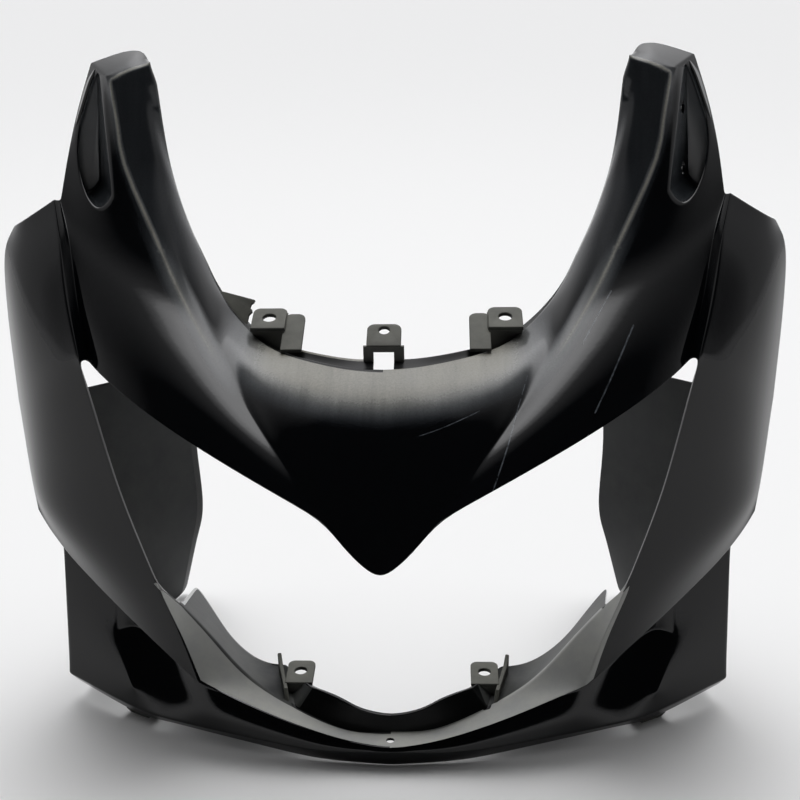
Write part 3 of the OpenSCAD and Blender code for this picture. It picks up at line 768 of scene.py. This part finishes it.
# Scratches on the front faces: the two ends in X and Z, and how wide each looks, in millimetres
SCRATCHES = [
    ((91, 281), (64, 225), 1.1),
    ((160, 306), (132, 265), 1.4),
    ((148, 322), (127, 297), 1.0),
    ((178, 262), (165, 250), 0.9),
    ((22, 262), (60, 270), 0.7),
    ((-72, 227), (-48, 181), 0.9),
    ((-69, 226), (-45, 180), 0.6),
]


def scratch_mark(tree, coords, start, end, width):
    """1 on a thin line between two places seen from the front, 0 away from it."""
    begin = Vector((start[0], 0, start[1])) * MM
    run = Vector((end[0], 0, end[1])) * MM - begin
    from_begin = add(tree, "VectorMath", coords, begin, operation="SUBTRACT")
    from_begin = add(tree, "VectorMath", from_begin, (1, 0, 1), operation="MULTIPLY")
    share = add(tree, "VectorMath", from_begin, run / run.length_squared, operation="DOT_PRODUCT")
    nearest = add(tree, "VectorMath", run, operation="SCALE", Scale=add(tree, "MapRange", share, 0, 1))
    gap = add(tree, "VectorMath", from_begin, nearest, operation="DISTANCE")
    return add(tree, "MapRange", gap, width / 2 * MM, 0)


def gloss_abs():
    """Black ABS from a polished mould: a deep black mirror with a slight orange peel, a painted golden-grey
    highlight along its edges, which are also rougher there as if rubbed, and a few broken scratches."""
    material, tree = new_material("gloss_black_abs")
    coords = add(tree, "TexCoord").outputs["Object"]
    marks = scratch_mark(tree, coords, *SCRATCHES[0])
    for scratch in SCRATCHES[1:]:
        marks = add(tree, "Math", marks, scratch_mark(tree, coords, *scratch), operation="MAXIMUM")
    breaks = add(tree, "TexNoise", coords, Scale=1 / (4 * MM), Detail=4, Roughness=0.7)
    marks = add(tree, "Math", marks, add(tree, "MapRange", breaks, 0.35, 0.6), operation="MULTIPLY")

    # Painted highlight: the rolled edge under the screen, the ridges and the caps' front edges are painted a
    # golden grey,
    #     # and made rougher as by handling. Its grain stands for rub marks, which are really a few tenths of a
    #     millimetre and are drawn coarser so that they show
    scuff = add(tree, "Attribute", attribute_name="scuff").outputs["Fac"]
    fine_rubs = add(tree, "TexNoise", coords, Scale=1 / (1.3 * MM), Detail=4, Roughness=0.7)
    grain = add(tree, "MapRange", fine_rubs, 0.3, 0.65, 0.72, 1)
    long_way = add(tree, "Mapping", coords, Scale=(1, 0.1, 0.1))
    streaks = add(tree, "TexNoise", long_way, Scale=1 / (9 * MM), Detail=3, Roughness=0.6)
    dull = add(tree, "MapRange", streaks, 0.35, 0.6, 0.8, 1)
    grained_highlight = add(tree, "Math", scuff, grain, operation="MULTIPLY")
    grained_highlight = add(tree, "Math", grained_highlight, dull, operation="MULTIPLY")
    faint_marks = add(tree, "Math", marks, 0.45, operation="MULTIPLY")
    highlight_and_marks = add(tree, "Math", grained_highlight, faint_marks, operation="MAXIMUM")

    # Painted highlight: along the mask the black is mixed towards a golden grey, and the scratches take the
    # same grey
    highlight_tint = add(tree, "Mix", data_type="RGBA", Factor=scuff, A=linear("#8a9199"), B=linear("#9f9b8c"))
    colour = add(tree, "Mix", data_type="RGBA", Factor=highlight_and_marks, A=linear("#060709"), B=highlight_tint)
    haze = add(tree, "TexNoise", coords, Scale=1 / (45 * MM), Detail=3)
    polish = add(tree, "MapRange", haze, 0.45, 0.75, 0.06, 0.11)
    worn = add(tree, "Math", highlight_and_marks, 0.4, operation="MULTIPLY")
    rough = add(tree, "Math", polish, worn, operation="ADD")
    ripple = add(tree, "TexNoise", coords, Scale=1 / (3.5 * MM))
    peel = add(tree, "Bump", Height=ripple, Strength=0.06, Distance=0.3 * MM)
    shader = add(tree, "BsdfPrincipled", Base_Color=colour, Roughness=rough, IOR=1.53, Normal=peel,
                 Specular_IOR_Level=0.28)
    add(tree, "OutputMaterial", Surface=shader)
    return material


def matt_abs(name, plain_tone, pale_tone, roughness=0.5, cover=0, shine=0.12):
    """The same plastic off the grained side of the mould, under mottled dust that settles where it faces up.
    Cover is the least share of dust, and shine is the strength of the reflection."""
    material, tree = new_material(name)
    coords = add(tree, "TexCoord").outputs["Object"]
    facing = add(tree, "SeparateXYZ", add(tree, "NewGeometry").outputs["Normal"])
    settled = add(tree, "MapRange", facing.outputs["Z"], -0.2, 0.9, 0.25, 1)
    mottle = add(tree, "TexNoise", coords, Scale=1 / (22 * MM), Detail=6, Roughness=0.65)
    patches = add(tree, "MapRange", mottle, 0.35, 0.7, cover, 1)
    dust = add(tree, "Math", settled, patches, operation="MULTIPLY")
    colour = add(tree, "Mix", data_type="RGBA", Factor=dust, A=linear(plain_tone), B=linear(pale_tone))
    # The mould's real grain is about 0.3 mm, and is drawn at three times that so that it shows
    pits = add(tree, "TexNoise", coords, Scale=1 / (0.9 * MM), Detail=3)
    grain = add(tree, "Bump", Height=pits, Strength=0.15, Distance=0.2 * MM)
    shader = add(tree, "BsdfPrincipled", Base_Color=colour, Roughness=roughness, IOR=1.5, Normal=grain,
                 Specular_IOR_Level=shine)
    add(tree, "OutputMaterial", Surface=shader)
    return material


gloss = gloss_abs()
# The inside of the moulding and its floor: grained, so it mirrors nothing and shows a soft dark grey
matt = matt_abs("matt_black_abs", "#323334", "#444542")
# The ledge over the chin: its pale grey is painted light, standing for the light and reflection the ledge
# catches, and mottled as by a film of road dust. It is the palest face of the moulding
pale_tone = matt_abs("ledge_dust_and_painted_light_abs", "#949593", "#a3a39d")
# The riser and the screen flange: clean and smoother, so they show nearly black
shaded = matt_abs("plain_black_abs", "#060707", "#111212", 0.3)
# The walls and floors of the mirror pockets: a fine grain with a silky sheen
satin = matt_abs("satin_black_abs", "#26292c", "#34383b", 0.25, 0.3, 0.6)
# The tabs, their ribs and the torn flap: grained plastic, greyed all over by dust
tab_finish = matt_abs("dusted_black_abs", "#232425", "#66665f", 0.5, 0.65)
finishes = (gloss, matt, pale_tone, shaded, satin, tab_finish)

# The shell, rounded and cut
shell, skin_borders = shell_mesh()
bevel_folds(shell, skin_borders)
shell_data = bpy.data.meshes.new("nose_fairing_shell")
shell.to_mesh(shell_data)
fairing = new_object("fairing", shell_data, finishes)
rounding = fairing.modifiers.new("rounding", "SUBSURF")
rounding.levels = rounding.render_levels = 2
settle(fairing)

uncut = bmesh.new()
uncut.from_mesh(fairing.data)
uncut.normal_update()
uncut.faces.ensure_lookup_table()
uncut_skin = BVHTree.FromBMesh(uncut)

window_front = 1 - screen_reach
window_rear = 17 - screen_reach
window = upright_block("tab_window", [(-window_w / 2, window_front), (window_w / 2, window_front),
                                      (window_w / 2, window_rear), (-window_w / 2, window_rear)],
                       screen_z - 9, screen_z + 7)
chin_screw_hole = upright_block("chin_screw_hole", circle(0, 9 - chin_reach, chin_hole_d),
                                chin_z - 12, chin_z + 8)
# The pocket's cutter is a hair smaller than the cup that fills it, so the cup's lip covers the cut
pocket_space = prism(leaf_outline(lip_r - 0.15), -60, pocket_back + cup_wall - 0.1, "pocket_space")
cut(fairing, [pocket_space, window, chin_screw_hole])

# Everything moulded onto the shell joins it as one piece
joined_up = bmesh.new()
joined_up.from_mesh(fairing.data)
cups = pocket_cups(uncut_skin, finishes)
joined_up.from_mesh(cups.data)
bpy.data.objects.remove(cups)
first_tab_face = len(joined_up.faces)
for mesh in (*low_tab(), *side_tab(), *wing_lug()):
    joined_up.from_mesh(mesh)
    mesh.transform(Matrix.Scale(-1, 4, (1, 0, 0)))
    mesh.flip_normals()
    joined_up.from_mesh(mesh)
for mesh in (*middle_tab(), torn_flap()):
    joined_up.from_mesh(mesh)
joined_up.faces.ensure_lookup_table()
for face in joined_up.faces[first_tab_face:]:
    face.material_index = TAB
for face in joined_up.faces:
    face.smooth = True
joined_up.to_mesh(fairing.data)
fairing.data.set_sharp_from_angle(angle=math.radians(38))

# The horns' rounding: how far it reaches, and how far it moves the inner top edge
corner_reach = 20
corner_pull = 2.6

# The faces round a pocket that keep the uncut skin's normals: how far from its lip, and how high over it
lip_reach = 6
lip_top = 40


def soften_horns(mesh, places):
    """Rounds the inner edge at the top of each horn."""
    pull = fade(gap_to([blade_top, cap_inner], places), 0, corner_reach)
    for k in np.nonzero(pull)[0]:
        v = mesh.vertices[k]
        v.co += Vector((math.copysign(corner_pull, v.co.x), 0, -corner_pull)) * float(pull[k]) * MM


def highlight_and_rub_places(places):
    """How strongly each place gets the painted highlight, and the rougher rubbed finish with it, from 0 to 1.
    """
    across, height = places[:, 0], places[:, 2]
    to_screen, to_ridge = gap_to(screen, places), gap_to(ridge, places)
    # Bands of painted highlight: the caps' front edges, the rolled edge under the screen, a faint painted sheen
    # on the blades, the screen's edge and the ridges
    cap_edge_highlight = 0.8 * fade(gap_to([ridge_top, blade_top], places), 0.8, 3) * fade(height, 445, 440)
    rolled_edge_highlight = 0.8 * fade(to_screen, 20, 47) * fade(across, 70, 115)
    blade_painted_sheen = 0.075 * fade(to_screen + to_ridge, 38, 46) * fade(height, 350, 310)
    screen_edge_highlight = 0.5 * fade(to_screen, 0.3, 2.4)
    ridge_edge_highlight = 0.75 * fade(to_ridge, 0.3, 2.6) * fade(height, 300, 275)
    ridge_side_highlight = 0.35 * fade(to_ridge, 1, 10) * fade(height, 290, 270) * fade(height, 320, 375)
    return np.maximum.reduce([cap_edge_highlight, rolled_edge_highlight, blade_painted_sheen, screen_edge_highlight, ridge_edge_highlight, ridge_side_highlight])


def keep_skin_normals(mesh):
    """Gives the outer faces round each pocket's lip the smooth normals of the uncut skin."""
    c, s = math.cos(pocket_turn), math.sin(pocket_turn)
    rim = [point(x, 0, z) for x, z in leaf_outline(lip_r)]
    centres = np.array([face.center for face in mesh.polygons]) / MM
    from_seat = abs(centres * (1, 0, 0)) + centres * (0, 1, 1) - pocket_at
    flat = np.stack([c * from_seat[:, 0] - s * from_seat[:, 1], 0 * from_seat[:, 0], from_seat[:, 2]], axis=1)
    close = gap_to(rim + rim[:1], flat) < lip_reach
    normals = [(0, 0, 0)] * len(mesh.loops)
    for k in np.nonzero(close & (flat[:, 2] < lip_top))[0]:
        face = mesh.polygons[k]
        for loop in face.loop_indices if face.material_index == GLOSS else ():
            corner = mesh.vertices[mesh.loops[loop].vertex_index].co
            place, level, index, far = uncut_skin.find_nearest(corner)
            if far < 0.05 * MM and level.dot(face.normal) > 0.9:
                corners = uncut.faces[index].verts
                shares = poly_3d_calc([v.co for v in corners], place)
                blend = sum((v.normal * share for v, share in zip(corners, shares)), Vector())
                normals[loop] = blend.normalized()
    mesh.normals_split_custom_set(normals)


# Places on both halves, told as the right half's
places = np.empty(len(fairing.data.vertices) * 3)
fairing.data.vertices.foreach_get("co", places)
places = places.reshape(-1, 3) / MM
places[:, 0] = abs(places[:, 0])
soften_horns(fairing.data, places)
keep_skin_normals(fairing.data)
uncut.free()
# The mask of the painted highlight and the rubbed roughness, kept on the shell's points for the gloss material
fairing.data.attributes.new("scuff", "FLOAT", "POINT").data.foreach_set("value", highlight_and_rub_places(places))

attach(fairing, "root")
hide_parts("nose_fairing")


# The floor, and the soft light of a pale ceiling behind and above the object
def floor_paper():
    """Matt paper, nearly white: it takes the object's soft shadow and mirrors nothing."""
    material, tree = new_material("pale_paper")
    shader = add(tree, "BsdfPrincipled", Base_Color=linear("#f2f2f1"), Roughness=0.95, Specular_IOR_Level=0)
    add(tree, "OutputMaterial", Surface=shader)
    return material


floor_r = 14
floor_cells = 64
floor_turns = np.linspace(0, 2 * math.pi, floor_cells + 1)[:-1]
floor_data = bpy.data.meshes.new("floor")
floor_data.from_pydata([(floor_r * math.cos(a), floor_r * math.sin(a), 0) for a in floor_turns], [],
                       [tuple(range(floor_cells))])
floor = new_object("floor", floor_data, (floor_paper(),))

# The room is dark in front and pale behind, with one large soft panel overhead, and a pale horizon that leaves
# the far floor no dark rim. Each edge gives the two values of the direction's own X, Y or Z between which a
# level comes in
FRONT_LEVEL = 0.02
ROOM_LEVEL = 0.53
ROOM_EDGE = (-0.28, -0.05)
WALL_LEVEL = 0.35
WALL_EDGE = (0.3, 0.7)
PANEL_LEVEL = 4.0
PANEL_EDGES = (("Y", (-0.03, 0.2)), ("Y", (0.9, 0.5)), ("Z", (0.3, 0.5)))
PANEL_SIDE = (0.46, 0.26)
HORIZON_LEVEL = 0.75
HORIZON_EDGE = (0.07, 0.02)


def light_room():
    """Makes the world: its strength varies with the direction, in one pale colour."""
    world = bpy.data.worlds.new("studio")
    bpy.context.scene.world = world
    world.use_nodes = True
    tree = world.node_tree
    tree.nodes.clear()
    way = add(tree, "SeparateXYZ", add(tree, "TexCoord").outputs["Generated"]).outputs
    room = add(tree, "MapRange", way["Y"], *ROOM_EDGE, FRONT_LEVEL, ROOM_LEVEL)
    wall = add(tree, "MapRange", way["Y"], *WALL_EDGE, 0, WALL_LEVEL)
    level = add(tree, "Math", room, wall, operation="ADD")
    panel = add(tree, "MapRange", add(tree, "Math", way["X"], operation="ABSOLUTE"), *PANEL_SIDE)
    for axis, edge in PANEL_EDGES:
        panel = add(tree, "Math", panel, add(tree, "MapRange", way[axis], *edge), operation="MULTIPLY")
    level = add(tree, "Math", panel, PANEL_LEVEL, level, operation="MULTIPLY_ADD")
    horizon = add(tree, "MapRange", way["Z"], *HORIZON_EDGE)
    level = add(tree, "Mix", data_type="FLOAT", Factor=horizon, A=level, B=HORIZON_LEVEL)
    add(tree, "OutputWorld", Surface=add(tree, "Background", Color=linear("#fdfdff"), Strength=level))


def soft_box(name, place, target, width, height, watts):
    """A rectangular area lamp at a place, turned towards its target, in metres and watts."""
    data = bpy.data.lights.new(name, "AREA")
    data.shape = "RECTANGLE"
    data.size, data.size_y, data.energy = width, height, watts
    lamp = bpy.data.objects.new(name, data)
    lamp.location = place
    lamp.rotation_euler = (Vector(target) - Vector(place)).to_track_quat("-Z", "Y").to_euler()
    bpy.context.scene.collection.objects.link(lamp)


light_room()
soft_box("top_panel", (0, 0.8, 2.2), (0, 0.8, 0), 1.2, 1.4, 5.5)

# The camera of the photograph
view_down = math.radians(22)
view_turn = math.radians(2.79)
view_roll = math.radians(-1.18)
view_distance = 0.850
look_at = Vector((0, 0, 0.242))
focal_px = 1232
frame_px = 800
centre_px = (388.7, 401.7)

eye = look_at + view_distance * Vector((math.cos(view_down) * math.sin(view_turn),
                                        -math.cos(view_down) * math.cos(view_turn), math.sin(view_down)))
ahead = (look_at - eye).normalized()
right = ahead.cross(Vector((0, 0, 1))).normalized()
up = right.cross(ahead)
right, up = (right * math.cos(view_roll) + up * math.sin(view_roll),
             up * math.cos(view_roll) - right * math.sin(view_roll))
camera_data = bpy.data.cameras.new("camera")
camera_data.sensor_width = 36
camera_data.lens = focal_px / frame_px * camera_data.sensor_width
camera_data.shift_x = (frame_px / 2 - centre_px[0]) / frame_px
camera_data.shift_y = (centre_px[1] - frame_px / 2) / frame_px
camera_data.clip_start = 0.01
camera = bpy.data.objects.new("camera", camera_data)
camera.matrix_world = Matrix.Translation(eye) @ Matrix((right, up, -ahead)).transposed().to_4x4()
bpy.context.scene.collection.objects.link(camera)
bpy.context.scene.camera = camera
bpy.context.scene.view_settings.view_transform = "Standard"
